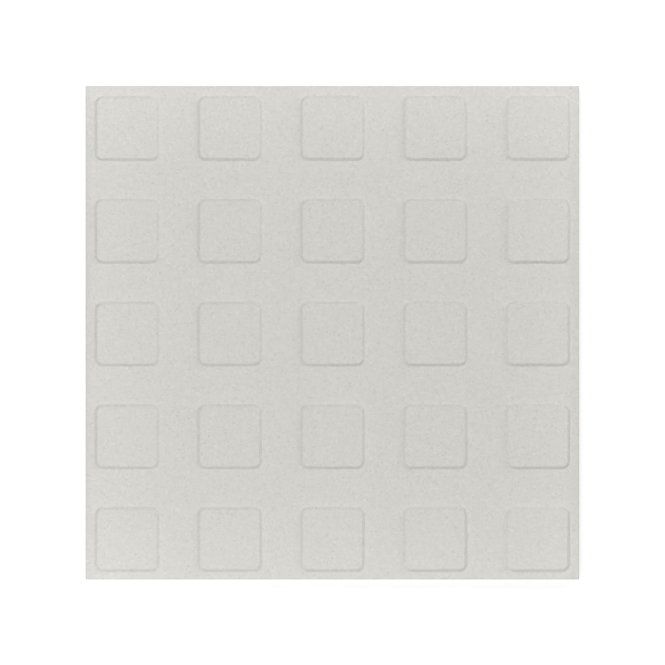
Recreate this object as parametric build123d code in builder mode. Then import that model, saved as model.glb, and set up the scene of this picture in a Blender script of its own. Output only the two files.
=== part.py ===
from build123d import *
from math import atan2, degrees
import os

# A studded floor tile: one dry-pressed, fired porcelain body. The tread side carries a
# square field of low raised studs with rounded plan corners, sloping flanks and softened
# edges. The back has the shallow keying pockets that hold the tile in its adhesive bed.
# Sizes are in millimetres. The origin is at the centre of the outline, level with the
# ribs of the back that the tile lies on, and +Z points to the tread side.

# Body
tile_side = 298.0             # work size of a tile sold as 300 mm
body_thickness = 8.0          # back ribs to the ground between the studs
outline_corner_radius = 0.8   # upright corners
tread_edge_radius = 0.7       # eased edge round the tread side
back_edge_bevel = 0.7         # bevel that the die leaves round the back
corner_share = 0.9            # most of an upright corner's radius that an eased edge takes

# Studs
stud_pitch = 62.0             # centre to centre, both ways
stud_width = 37.5             # across one stud, half-way up its flanks
stud_corner_radius = 4.2      # plan corner, half-way up its flanks
stud_height = 1.5             # above the ground between the studs
stud_flank_run = 1.75         # how far a flank spreads from crest to foot
stud_crest_radius = 1.1       # rounding along the top edge of a flank
stud_foot_radius = 1.1        # rounding where a flank meets the ground
stud_field_shift = -0.8       # the field sits this far off the outline's centre along Y
stud_least_margin = 4.5       # least ground kept between a foot and the outline

# Back
key_pitch = 31.0              # keying pockets, centre to centre, both ways
key_rib_width = 3.0           # rib left between two pockets
key_depth = 0.6               # pocket floor above the ribs
key_corner_radius = 3.0       # plan corner of a pocket
key_flank_angle = 30.0        # lean of a pocket's sides from upright
key_least_rim = 8.0           # least plain rim kept round the pockets


def copies_along(side, pitch, width, margin):
    """How many features of this width fit along a side at this pitch, clear of the margins."""
    return max(1, int((side - 2 * margin - width) / pitch) + 1)


edge_limit = corner_share * outline_corner_radius
tread_easing = min(tread_edge_radius, edge_limit)
back_bevel = min(back_edge_bevel, edge_limit)

stud_foot_width = stud_width + stud_flank_run
stud_foot_corner = stud_corner_radius + stud_flank_run / 2
stud_margin = stud_least_margin + abs(stud_field_shift)
stud_count = copies_along(tile_side, stud_pitch, stud_foot_width, stud_margin)
stud_flank_angle = degrees(atan2(stud_flank_run, stud_height))

key_width = key_pitch - key_rib_width
key_count = copies_along(tile_side, key_pitch, key_width, key_least_rim)

with BuildPart() as studded_tile:
    # The pressed body, with its upright corners, eased tread edge and bevelled back edge
    with BuildSketch():
        RectangleRounded(tile_side, tile_side, outline_corner_radius)
    extrude(amount=body_thickness)
    fillet(studded_tile.faces().sort_by(Axis.Z)[-1].edges(), tread_easing)
    chamfer(studded_tile.faces().sort_by(Axis.Z)[0].edges(), back_bevel)

    # The studs, from the outline of their feet, leaning in to their crests
    with BuildSketch(Plane.XY.offset(body_thickness)):
        with Locations((0, stud_field_shift)):
            with GridLocations(stud_pitch, stud_pitch, stud_count, stud_count):
                RectangleRounded(stud_foot_width, stud_foot_width, stud_foot_corner)
    extrude(amount=stud_height, taper=stud_flank_angle)
    foot_edges, _, crest_edges = studded_tile.edges(Select.LAST).group_by(Axis.Z)
    fillet(crest_edges, stud_crest_radius)
    fillet(foot_edges, stud_foot_radius)

    # The keying pockets of the back
    with BuildSketch():
        with GridLocations(key_pitch, key_pitch, key_count, key_count):
            RectangleRounded(key_width, key_width, key_corner_radius)
    extrude(amount=key_depth, taper=key_flank_angle, mode=Mode.SUBTRACT)

studded_tile.part.label = "studded_tile"
os.makedirs("parts", exist_ok=True)
export_step(studded_tile.part, "parts/studded_tile.step")
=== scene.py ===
import math

import bmesh
import bpy
import numpy as np
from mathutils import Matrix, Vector


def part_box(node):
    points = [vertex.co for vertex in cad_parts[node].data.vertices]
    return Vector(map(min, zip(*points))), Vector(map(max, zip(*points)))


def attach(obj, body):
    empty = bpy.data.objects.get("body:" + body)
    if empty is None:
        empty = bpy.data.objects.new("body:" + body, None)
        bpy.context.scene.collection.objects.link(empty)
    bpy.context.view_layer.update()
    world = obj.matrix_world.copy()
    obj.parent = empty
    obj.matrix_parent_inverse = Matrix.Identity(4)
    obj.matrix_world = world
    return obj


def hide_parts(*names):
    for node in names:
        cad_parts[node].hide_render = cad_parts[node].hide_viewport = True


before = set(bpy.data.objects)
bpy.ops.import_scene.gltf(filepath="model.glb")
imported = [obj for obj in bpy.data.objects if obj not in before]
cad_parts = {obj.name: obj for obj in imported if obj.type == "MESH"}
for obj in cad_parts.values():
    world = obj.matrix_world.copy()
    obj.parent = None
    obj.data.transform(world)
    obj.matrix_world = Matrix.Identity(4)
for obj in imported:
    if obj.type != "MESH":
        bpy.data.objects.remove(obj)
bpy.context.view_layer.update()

# A dry-pressed porcelain tile lying on a white table, tread side up, seen straight from above.
# Lengths are in metres.
tile_low, tile_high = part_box("studded_tile")

# The pressed body
tile_side = tile_high.x - tile_low.x
outline_corner_radius = 0.0008    # upright corners
outline_corner_steps = 3          # strips round half of an upright corner
tread_edge_radius = 0.0007        # eased edge round the tread side
tread_edge_steps = 5
back_edge_bevel = 0.0007

# The studs
stud_count = 5                    # along each side
stud_pitch = 0.062
stud_field_shift = -0.0008        # along Y
stud_width = 0.0375               # half-way up the flanks
stud_corner_radius = 0.0042       # half-way up the flanks
stud_height = 0.0015
stud_flank_run = 0.00175
stud_edge_radius = 0.0011         # of the crest and of the foot
stud_edge_steps = 5               # rings in a crest's or a foot's rounding
stud_side_steps = 15              # strips along a straight side
stud_corner_steps = 12            # strips round a plan corner, an even number
stud_waver = 0.00005              # how far a border strays from its line
stud_softness = 0.10              # share by which a flank's run varies
stud_sag = 0.00004                # how far below full height a stud may be pressed
waver_swings = 14                 # swings of the finest waver round one stud
stray_seed = 11                   # of the random numbers that the studs stray by
weld_distance = 1e-6              # points of the mesh that lie closer than this are one

# The keying pockets of the back
key_count = 9
key_pitch = 0.031
key_rib_width = 0.003
key_depth = 0.0006
key_corner_radius = 0.003
key_flank_angle = math.radians(30)
key_edge_radius = 0.0004          # of a pocket's mouth and of its floor
key_edge_steps = 2
key_side_steps = 7
key_corner_steps = 8

# The porcelain. A shade, darkness or paleness is a share of the body's colour.
porcelain_colour = (0.642, 0.635, 0.599)
granule_size = 0.00105
granule_power = 5                 # an odd number: the higher, the fewer granules stray far
granule_shade = 0.085             # most by which a granule is darker
granule_pale_share = 0.6          # the palest one's share of that
mottle_size = 0.0018
mottle_shade = 0.125
cloud_size = 0.03
cloud_shade = 0.02
rim_power = 4
painted_rim_paleness = 0.080                 # painted light: how much paler the colour is made at the middle of a side
painted_light_downwards = 0.014              # painted light: how much paler the colour is made at its lower side than half-way up
edge_shades = (
    # side along X, how far in from the outline it reaches, how much darker it is at the outline
    (-1, 0.0045, 0.046),
    (1, 0.0100, 0.048),
)
speck_spacing = 0.0030
speck_reach = 0.20                # of the largest specks, as a share of their spacing
speck_fade = 0.6                  # share of a speck's reach over which it fades
speck_chance = 0.30               # share of the places that have a speck
speck_shade = 0.16
raw_fade = 0.0003                 # half the height over which the pressed side turns raw
raw_darkness = 0.05
drag_width = 0.0005
drag_shortness = 0.06             # drag lines are this much stretched upright
drag_shade = 0.10
drag_depth = 0.00003
wash_depth = 0.00008              # how far up the ribs of the back the kiln wash reaches
wash_paleness = 0.10
pore_size = 0.0006
pore_raggedness = 0.6
pore_depth = 0.00003
peel_size = 0.004                 # of the faint long waves in the surface
peel_depth = 0.00002
tread_roughness = 0.62
roughness_spread = 0.2
specular_level = 0.4

# The table and the light
table_side = 6.0
table_white = 0.85
table_seen_white = 0.25           # in place of table_white where the table is seen directly
table_own_light = 0.83            # near the tile
table_near = 0.35                 # where its own light starts to rise
table_far = 1.2                   # where it has risen to 1
room_share = 0.010                # share of full light that comes from all round
softbox_side = 0.5
softbox_distance = 1.3
softboxes = (
    # name, azimuth from +X, elevation, share of full light
    ("key_from_bottom", 254, 46, 0.433),
    ("key_above_top", 100, 49, 0.411),
    ("side_from_upper_right", 32, 22, 0.076),
    ("side_from_upper_left", 156, 21, 0.017),
    ("rake_from_right", 20, 16, 0.036),
)

# The camera
camera_height = 2.4
camera_aim = (0.00006, 0.0001)    # the point of the table that it stands above
sensor_width = 36.0               # millimetres
frame_pixels = 665                # across the picture
tile_pixels = 493.5               # across the tile's outline

half_side = tile_side / 2
outline_core = half_side - outline_corner_radius
ground_level = tile_high.z - stud_height


def places_across_cells(count, pitch, shift, straight_half, side_steps, corner_steps):
    """Where the strips begin and end along one axis, one row of places for each cell.

    A cell holds one stud or pocket. Half of corner_steps lead from the cell's start to where the
    feature's straight side starts, side_steps follow that side, and the rest lead to the cell's end,
    half-way to the next feature. In the first and last cell, the steps nearest to the outline go
    round the tile's own upright corner.
    """
    centres = (np.arange(count) - (count - 1) / 2) * pitch + shift
    ends = np.concatenate([[-half_side], (centres[1:] + centres[:-1]) / 2, [half_side]])
    lead_steps = corner_steps // 2
    plain_steps = lead_steps - outline_corner_steps
    round_corner = np.linspace(outline_core, half_side, outline_corner_steps + 1)
    rows = []
    for cell, centre in enumerate(centres):
        side_start, side_end = centre - straight_half, centre + straight_half
        lead_in = np.linspace(ends[cell], side_start, lead_steps + 1)
        lead_out = np.linspace(side_end, ends[cell + 1], lead_steps + 1)
        if cell == 0:
            plain = np.linspace(-outline_core, side_start, plain_steps + 1)
            lead_in = np.concatenate([-round_corner[:0:-1], plain])
        if cell == count - 1:
            plain = np.linspace(side_end, outline_core, plain_steps + 1)
            lead_out = np.concatenate([plain, round_corner[1:]])
        side = np.linspace(side_start, side_end, side_steps + 1)
        rows.append(np.concatenate([lead_in[:-1], side, lead_out[1:]]))
    return centres, np.array(rows)


def borders_of_cells(places_x, places_y):
    """The border of each cell as points, anticlockwise from its lower right corner.

    The right side runs up, the top runs left, the left side runs down and the bottom runs right. The
    array's axes are the cell's row, its column, the point, and X or Y.
    """
    shape = (len(places_y), len(places_x), places_x.shape[1] - 1)
    x, y = places_x[None, :, :], places_y[:, None, :]
    sides = [(x[..., -1:], y[..., :-1]), (x[..., :0:-1], y[..., -1:]),
             (x[..., :1], y[..., :0:-1]), (x[..., :-1], y[..., :1])]
    return np.concatenate([
        np.stack([np.broadcast_to(across, shape), np.broadcast_to(up, shape)], -1)
        for across, up in sides], axis=2)


def turned_outline(points):
    """For points on the tile's square outline, the core point each one turns about and its direction.

    The core is the square that the upright corners' centres make. A point of a straight side points
    straight out. Round a corner the direction turns from 0 to 45 degrees at the corner's middle, in
    proportion to how far past the core the point lies, and on to 90 degrees in the same way. A point
    inside the core has no direction, so it stays where it is.
    """
    core = np.clip(points, -outline_core, outline_core)
    past = points - core
    reach = np.abs(past)
    share = reach.min(-1) / np.maximum(reach.max(-1), tile_side * 1e-9)
    turn = math.pi / 4 * share
    turn = np.where(reach[..., 0] >= reach[..., 1], turn, math.pi / 2 - turn)
    return core, np.stack([np.cos(turn), np.sin(turn)], -1) * np.sign(past)


def rounded_square(core_half, side_steps, corner_steps):
    """The core points and outward directions of a rounded square, in step with a cell's border.

    A point at distance r from the core square is its core point plus r times its direction, so every
    offset of the square has its corners round the same four centres.
    """
    lead = corner_steps // 2
    turn = np.concatenate([
        np.linspace(-math.pi / 4, 0, lead + 1)[:-1], np.zeros(side_steps),
        np.linspace(0, math.pi / 4, lead + 1)[:-1]])
    along = np.concatenate([
        np.full(lead, -core_half), np.linspace(-core_half, core_half, side_steps + 1)[:-1],
        np.full(lead, core_half)])
    core = np.stack([np.full_like(along, core_half), along], -1)
    out = np.stack([np.cos(turn), np.sin(turn)], -1)
    quarter = np.array([[0, 1], [-1, 0]])
    turns = np.array([np.linalg.matrix_power(quarter, q) for q in range(4)])
    return (core @ turns).reshape(-1, 2), (out @ turns).reshape(-1, 2)


def eased_slope(start, end, radius, steps):
    """A straight slope between two levels, with an arc of one radius where it leaves each of them.

    start and end are the corners that the slope would have without arcs, each as distance and height.
    An arc turns from level to the slope's angle, so it begins and ends at radius times the tangent of
    half that angle from the corner. Returns the distances and the heights.
    """
    run, fall = end[0] - start[0], start[1] - end[1]
    slope = math.atan2(fall, run)
    cut = radius * math.tan(abs(slope) / 2)
    turn = np.linspace(0, abs(slope), steps + 1)
    side = np.sign(fall)
    first = start[0] - cut + radius * np.sin(turn), start[1] - side * radius * (1 - np.cos(turn))
    last = end[0] + cut - radius * np.sin(turn[::-1]), end[1] + side * radius * (1 - np.cos(turn[::-1]))
    return np.concatenate([first[0], last[0]]), np.concatenate([first[1], last[1]])


def wavering(rng, shares, shape):
    """A gentle waver round a closed line: cosines of 1, 2, 3 and more swings, each with its own phase.

    A cosine of n swings has a height of 1 over the root of n. The whole is scaled to a spread of one.
    """
    swings = np.arange(1, waver_swings + 1)
    phases = rng.uniform(0, 2 * math.pi, shape + (waver_swings,))
    waves = np.cos(2 * math.pi * shares[:, None] * swings + phases[..., None, :]) / np.sqrt(swings)
    total = waves.sum(-1)
    return total / total.std()


def stacks_of_rings(flat, levels):
    """Flat rings raised to their levels, one stack for each cell, and which bands are curved.

    The bands between two rings of a rounding or a flank are curved. The first and the last are level.
    """
    z = np.broadcast_to(levels[..., None, None], flat.shape[:-1] + (1,))
    rings = np.concatenate([flat, z], -1)
    curved = np.ones(rings.shape[-3] - 1, bool)
    curved[[0, -1]] = False
    return rings.reshape((-1,) + rings.shape[-3:]), curved


def studded_side():
    """The tread side: in each cell, rings from the middle of a stud's top out to the cell's border.

    Ring by ring the distance from the stud's core square and the height follow the eased slope of the
    flank. The last ring is the cell's border, drawn round the outline's corners where it meets them.
    """
    core_half = stud_width / 2 - stud_corner_radius
    centres_x, places_x = places_across_cells(
        stud_count, stud_pitch, 0.0, core_half, stud_side_steps, stud_corner_steps)
    centres_y, places_y = places_across_cells(
        stud_count, stud_pitch, stud_field_shift, core_half, stud_side_steps, stud_corner_steps)
    core, out = rounded_square(core_half, stud_side_steps, stud_corner_steps)
    distance, height = eased_slope(
        (stud_corner_radius - stud_flank_run / 2, stud_height),
        (stud_corner_radius + stud_flank_run / 2, 0.0), stud_edge_radius, stud_edge_steps)

    middle_line = core + stud_corner_radius * out
    steps = np.linalg.norm(np.roll(middle_line, -1, axis=0) - middle_line, axis=1)
    shares = (np.cumsum(steps) - steps) / steps.sum()
    rng = np.random.default_rng(stray_seed)
    cells = (stud_count, stud_count)
    strays = stud_waver * wavering(rng, shares, cells)
    spreads = 1 + stud_softness * wavering(rng, shares, cells) / 2
    sags = rng.uniform(0, stud_sag, cells)
    sags -= sags.min()

    from_middle = (distance - stud_corner_radius)[:, None] * spreads[..., None, :]
    radii = stud_corner_radius + from_middle + strays[..., None, :]
    centres = np.stack(np.meshgrid(centres_x, centres_y), -1)[:, :, None, None, :]
    rings = centres + core + radii[..., None] * out
    middle = np.broadcast_to(centres, cells + (1, len(core), 2))
    outline, direction = turned_outline(borders_of_cells(places_x, places_y))
    border = outline + (outline_corner_radius - tread_edge_radius) * direction
    flat = np.concatenate([middle, rings, border[:, :, None]], axis=2)

    levels = np.concatenate([[stud_height], height, [0.0]])
    levels = ground_level + levels * (1 - sags / stud_height)[..., None]
    return stacks_of_rings(flat, levels), (places_x, places_y)


def keyed_side():
    """The back: in each cell, rings from the cell's border in to the middle of a pocket's floor."""
    mouth_half = (key_pitch - key_rib_width) / 2
    core_half = mouth_half - key_corner_radius
    centres, places = places_across_cells(
        key_count, key_pitch, 0.0, core_half, key_side_steps, key_corner_steps)
    core, out = rounded_square(core_half, key_side_steps, key_corner_steps)
    lean = key_depth * math.tan(key_flank_angle)
    distance, height = eased_slope(
        (key_corner_radius - lean, key_depth), (key_corner_radius, 0.0), key_edge_radius, key_edge_steps)
    centres = np.stack(np.meshgrid(centres, centres), -1)[:, :, None, None, :]
    rings = centres + core + distance[::-1, None, None] * out
    cells = (key_count, key_count)
    middle = np.broadcast_to(centres, cells + (1, len(core), 2))
    outline, direction = turned_outline(borders_of_cells(places, places))
    border = outline + (outline_corner_radius - back_edge_bevel) * direction
    flat = np.concatenate([border[:, :, None], rings, middle], axis=2)
    levels = np.concatenate([[0.0], height[::-1], [key_depth]])
    return stacks_of_rings(flat, levels), (places, places)


def body_side(tread_places, back_places):
    """The four sides: a profile carried round the outline, from the tread side down to the back.

    The profile is a quarter circle at the tread edge, an upright face, and a bevel. The rings above
    the bevel stand under the strips of the studs, and the last ring meets the strips of the pockets.
    """
    turn = np.linspace(0, math.pi / 2, tread_edge_steps + 1)
    radius = outline_corner_radius - tread_edge_radius * (1 - np.sin(turn))
    level = ground_level - tread_edge_radius * (1 - np.cos(turn))
    radius = np.concatenate([radius, [outline_corner_radius, outline_corner_radius - back_edge_bevel]])
    level = np.concatenate([level, [back_edge_bevel, 0.0]])
    rings = []
    for places_x, places_y in (tread_places, back_places):
        whole = [np.concatenate([p[:, :-1].ravel(), p[-1, -1:]])[None] for p in (places_x, places_y)]
        rings.append(turned_outline(borders_of_cells(*whole)[0, 0]))
    (tread_core, tread_out), (back_core, back_out) = rings
    upper = tread_core + radius[:-1, None, None] * tread_out
    lowest = back_core + radius[-1] * back_out
    flat = np.concatenate([upper, lowest[None]])
    z = np.broadcast_to(level[:, None, None], flat.shape[:-1] + (1,))
    curved = np.concatenate([np.ones(tread_edge_steps, bool), [False, False]])
    return np.concatenate([flat, z], -1)[None], curved


def closed_mesh(name, surfaces):
    """One mesh from several stacks of closed rings, joined where their points meet.

    A surface is an array of stack, ring, point and coordinate, and says for each band between two
    rings whether it is curved, so that only those are shaded smooth. Each quad goes out a ring, round
    a point and back, which makes every face look outwards.
    """
    points, faces, smooth, offset = [], [], [], 0
    for rings, curved in surfaces:
        stacks, count, around, _ = rings.shape
        index = offset + np.arange(rings[..., 0].size).reshape(stacks, count, around)
        beside = np.roll(index, -1, axis=2)
        quads = np.stack([index[:, :-1], index[:, 1:], beside[:, 1:], beside[:, :-1]], -1)
        points.append(rings.reshape(-1, 3))
        faces.append(quads.reshape(-1, 4))
        smooth.append(np.broadcast_to(curved[None, :, None], quads.shape[:3]).ravel())
        offset += index.size
    mesh = bpy.data.meshes.new(name)
    mesh.from_pydata(np.concatenate(points).tolist(), [], np.concatenate(faces).tolist())
    mesh.polygons.foreach_set("use_smooth", np.concatenate(smooth))
    work = bmesh.new()
    work.from_mesh(mesh)
    bmesh.ops.remove_doubles(work, verts=work.verts, dist=weld_distance)
    work.to_mesh(mesh)
    work.free()
    mesh.update()
    return mesh


def build_tile():
    """The whole tile as one closed mesh: the tread side, the four sides and the back."""
    tread, tread_places = studded_side()
    back, back_places = keyed_side()
    mesh = closed_mesh("pressed_tile", [tread, body_side(tread_places, back_places), back])
    tile = bpy.data.objects.new("pressed_tile", mesh)
    bpy.context.scene.collection.objects.link(tile)
    return tile


def new_node(tree, kind, inputs=None, **settings):
    """A shader node with its settings, and with its inputs set to values or joined to other outputs."""
    made = tree.nodes.new(kind)
    for name, value in settings.items():
        setattr(made, name, value)
    for key, value in (inputs or {}).items():
        if isinstance(value, bpy.types.NodeSocket):
            tree.links.new(value, made.inputs[key])
        else:
            made.inputs[key].default_value = value
    return made


def calculated(tree, operation, first, second=0.0, third=0.0, **settings):
    """The result of one sum on values or other nodes' outputs."""
    inputs = {0: first, 1: second, 2: third}
    return new_node(tree, "ShaderNodeMath", inputs, operation=operation, **settings).outputs[0]


def mapped(tree, value, low, high, to_low, to_high):
    """A value carried smoothly from one range to another and held at its ends."""
    return new_node(tree, "ShaderNodeMapRange", {
        "Value": value, "From Min": low, "From Max": high, "To Min": to_low, "To Max": to_high,
    }, interpolation_type="SMOOTHSTEP").outputs["Result"]


def granules(tree, place, size):
    """Grains of about this size that fill the body.

    Returns two random numbers for each grain, and how far its middle is, in sizes.
    """
    grains = new_node(tree, "ShaderNodeTexVoronoi", {"Vector": place, "Scale": 1 / size}, feature="F1")
    number = new_node(tree, "ShaderNodeSeparateColor", {"Color": grains.outputs["Color"]})
    return number.outputs["Red"], number.outputs["Green"], grains.outputs["Distance"]


def mottle(tree, place, size, detail, roughness=0.5):
    """A cloudy pattern about zero, from noise whose blotches are about this large."""
    noise = new_node(tree, "ShaderNodeTexNoise", {
        "Vector": place, "Scale": 1 / size, "Detail": detail, "Roughness": roughness})
    return calculated(tree, "SUBTRACT", noise.outputs["Fac"], 0.5)


def seen_directly(tree):
    """1 for what the camera sees, also in a gloss or through glass, and 0 for what lights a surface."""
    path = new_node(tree, "ShaderNodeLightPath").outputs
    seen = calculated(tree, "MAXIMUM", path["Is Camera Ray"], path["Is Glossy Ray"])
    return calculated(tree, "MAXIMUM", seen, path["Is Transmission Ray"])


def unglazed_porcelain():
    """Pale warm grey porcelain, pressed from granules and fired without a glaze.

    The colour is the body's own, times a sum of small parts: a shade for each granule, a fine mottle,
    a broad cloud, painted light that makes the colour paler down the tile and paler in a rim that
    grows with the fourth power of the way out to the sides, and a darkening along the left and right
    sides. A granule's shade is its random number raised to an odd power, so that few are much paler
    or darker. Below the eased edge the pressed side is rawer, with upright drag lines from the die,
    and the ribs of the back carry a trace of pale kiln wash.
    """
    material = bpy.data.materials.new("unglazed_porcelain")
    material.use_nodes = True
    tree = material.node_tree
    tree.nodes.clear()
    place = new_node(tree, "ShaderNodeTexCoord").outputs["Object"]
    x, y, z = new_node(tree, "ShaderNodeSeparateXYZ", {"Vector": place}).outputs

    granule_number, _, _ = granules(tree, place, granule_size)
    stray = calculated(tree, "MULTIPLY_ADD", granule_number, 2.0, -1.0)
    stray = calculated(tree, "POWER", stray, granule_power)
    stray = calculated(tree, "MINIMUM", stray, granule_pale_share)
    shade = calculated(tree, "MULTIPLY_ADD", stray, granule_shade, 1.0)
    fine = mottle(tree, place, mottle_size, 1.0)
    shade = calculated(tree, "MULTIPLY_ADD", fine, mottle_shade, shade)
    cloud = mottle(tree, place, cloud_size, 2.0)
    shade = calculated(tree, "MULTIPLY_ADD", cloud, cloud_shade, shade)
    # painted light: the colour grows paler towards the lower side of the tile
    downwards = calculated(tree, "DIVIDE", y, -half_side)
    shade = calculated(tree, "MULTIPLY_ADD", downwards, painted_light_downwards, shade)
    # painted light: the colour is made paler towards the sides, with the fourth power of the way out
    for across in (x, y):
        way_out = calculated(tree, "DIVIDE", calculated(tree, "ABSOLUTE", across), half_side)
        rim = calculated(tree, "POWER", way_out, rim_power)
        shade = calculated(tree, "MULTIPLY_ADD", rim, painted_rim_paleness, shade)
    for side, reach, darkness in edge_shades:
        sideways = calculated(tree, "MULTIPLY", x, side)
        shade = calculated(tree, "ADD", shade, mapped(
            tree, sideways, half_side - reach, half_side, 0.0, -darkness))

    speck_number, speck_size, speck_distance = granules(tree, place, speck_spacing)
    reach = calculated(tree, "MULTIPLY_ADD", speck_size, speck_reach / 2, speck_reach / 2)
    share_out = calculated(tree, "DIVIDE", speck_distance, reach)
    inside = calculated(tree, "SUBTRACT", 1.0, share_out, use_clamp=True)
    inside = mapped(tree, inside, 0.0, speck_fade, 0.0, 1.0)
    chosen = calculated(tree, "LESS_THAN", speck_number, speck_chance)
    inside = calculated(tree, "MULTIPLY", inside, chosen)
    darkness = calculated(tree, "MULTIPLY", inside, speck_shade)
    shade = calculated(tree, "SUBTRACT", shade, darkness)

    below_edge = ground_level - tread_edge_radius
    raw = mapped(tree, z, below_edge - raw_fade, below_edge + raw_fade, 1.0, 0.0)
    stretched = new_node(tree, "ShaderNodeVectorMath", {
        0: place, 1: (1.0, 1.0, drag_shortness)}, operation="MULTIPLY").outputs["Vector"]
    drag = mottle(tree, stretched, drag_width, 2.0)
    side_shade = calculated(tree, "MULTIPLY_ADD", drag, drag_shade, -raw_darkness)
    shade = calculated(tree, "MULTIPLY_ADD", side_shade, raw, shade)
    wash = mapped(tree, z, wash_depth / 2, wash_depth, wash_paleness, 0.0)
    shade = calculated(tree, "ADD", shade, wash)
    colour = new_node(tree, "ShaderNodeVectorMath", {
        0: porcelain_colour, "Scale": shade}, operation="SCALE").outputs["Vector"]

    pores = mottle(tree, place, pore_size, 2.0, pore_raggedness)
    peel = mottle(tree, place, peel_size, 1.0)
    height = calculated(tree, "MULTIPLY_ADD", peel, peel_depth / pore_depth, pores)
    side_drag = calculated(tree, "MULTIPLY", drag, raw)
    height = calculated(tree, "MULTIPLY_ADD", side_drag, drag_depth / pore_depth, height)
    bump = new_node(tree, "ShaderNodeBump", {"Height": height, "Distance": pore_depth, "Strength": 1.0})
    roughness = calculated(tree, "MULTIPLY_ADD", pores, roughness_spread, tread_roughness)
    surface = new_node(tree, "ShaderNodeBsdfPrincipled", {
        "Base Color": colour, "Roughness": roughness, "Normal": bump.outputs["Normal"],
        "Specular IOR Level": specular_level})
    new_node(tree, "ShaderNodeOutputMaterial", {"Surface": surface.outputs["BSDF"]})
    return material


def white_table():
    """A white top that takes the tile's shadow.

    Seen directly, it shows only part of the light that falls on it, shadow and all, and has enough
    light of its own to be white. Further out, where the softboxes reach less, that rises to full white.
    """
    material = bpy.data.materials.new("white_table")
    material.use_nodes = True
    tree = material.node_tree
    tree.nodes.clear()
    seen = seen_directly(tree)
    white = calculated(tree, "MULTIPLY_ADD", seen, table_seen_white - table_white, table_white)
    top = new_node(tree, "ShaderNodeBsdfDiffuse", {"Color": white})
    place = new_node(tree, "ShaderNodeTexCoord").outputs["Object"]
    away = new_node(tree, "ShaderNodeVectorMath", {0: place}, operation="LENGTH").outputs["Value"]
    strength = mapped(tree, away, table_near, table_far, table_own_light, 1.0)
    strength = calculated(tree, "MULTIPLY", seen, strength)
    own = new_node(tree, "ShaderNodeEmission", {"Strength": strength})
    both = new_node(tree, "ShaderNodeAddShader", {0: top.outputs[0], 1: own.outputs[0]})
    new_node(tree, "ShaderNodeOutputMaterial", {"Surface": both.outputs[0]})
    return material


def build_table():
    """A square of white table round the tile, at the level that it lies on."""
    mesh = bpy.data.meshes.new("table")
    corners = np.array([(-1, -1, 0), (1, -1, 0), (1, 1, 0), (-1, 1, 0)]) * (table_side / 2)
    mesh.from_pydata(corners.tolist(), [], [(0, 1, 2, 3)])
    table = bpy.data.objects.new("table", mesh)
    bpy.context.scene.collection.objects.link(table)
    mesh.materials.append(white_table())


def white_room():
    """Even light from all round. Seen directly or in a reflection, the room is white."""
    world = bpy.data.worlds.new("white_room")
    bpy.context.scene.world = world
    world.use_nodes = True
    tree = world.node_tree
    tree.nodes.clear()
    light = new_node(tree, "ShaderNodeBackground", {"Strength": room_share}).outputs[0]
    white = new_node(tree, "ShaderNodeBackground", {"Strength": 1.0}).outputs[0]
    mix = new_node(tree, "ShaderNodeMixShader", {0: seen_directly(tree), 1: light, 2: white})
    new_node(tree, "ShaderNodeOutputWorld", {"Surface": mix.outputs[0]})


def softbox(name, azimuth, elevation, share):
    """A square soft light that faces the tile and gives it this share of full light.

    A lamp of power P at distance d lights a level surface with P times the sine of its elevation,
    over pi times the square of d, and a colour renders as written where that makes pi.
    """
    lamp = bpy.data.lights.new(name, "AREA")
    lamp.shape = "SQUARE"
    lamp.size = softbox_side
    around, up = math.radians(azimuth), math.radians(elevation)
    towards = Vector((math.cos(up) * math.cos(around), math.cos(up) * math.sin(around), math.sin(up)))
    lamp.energy = share * (math.pi * softbox_distance) ** 2 / math.sin(up)
    light = bpy.data.objects.new(name, lamp)
    bpy.context.scene.collection.objects.link(light)
    light.location = towards * softbox_distance
    light.rotation_mode = "QUATERNION"
    light.rotation_quaternion = (-towards).to_track_quat("-Z", "Y")
    light.visible_camera = False


def overhead_camera():
    """A long lens straight above the tile, set so that the outline is tile_pixels wide."""
    camera = bpy.data.cameras.new("overhead")
    camera.sensor_width = sensor_width
    outline_level = ground_level - tread_edge_radius
    frame_width = tile_side * frame_pixels / tile_pixels
    camera.lens = sensor_width * (camera_height - outline_level) / frame_width
    view = bpy.data.objects.new("overhead", camera)
    bpy.context.scene.collection.objects.link(view)
    view.location = (camera_aim[0], camera_aim[1], camera_height)
    bpy.context.scene.camera = view


tile = build_tile()
tile.data.materials.append(unglazed_porcelain())
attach(tile, "root")
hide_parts("studded_tile")

build_table()
white_room()
for softbox_facts in softboxes:
    softbox(*softbox_facts)
overhead_camera()
bpy.context.scene.view_settings.view_transform = "Standard"
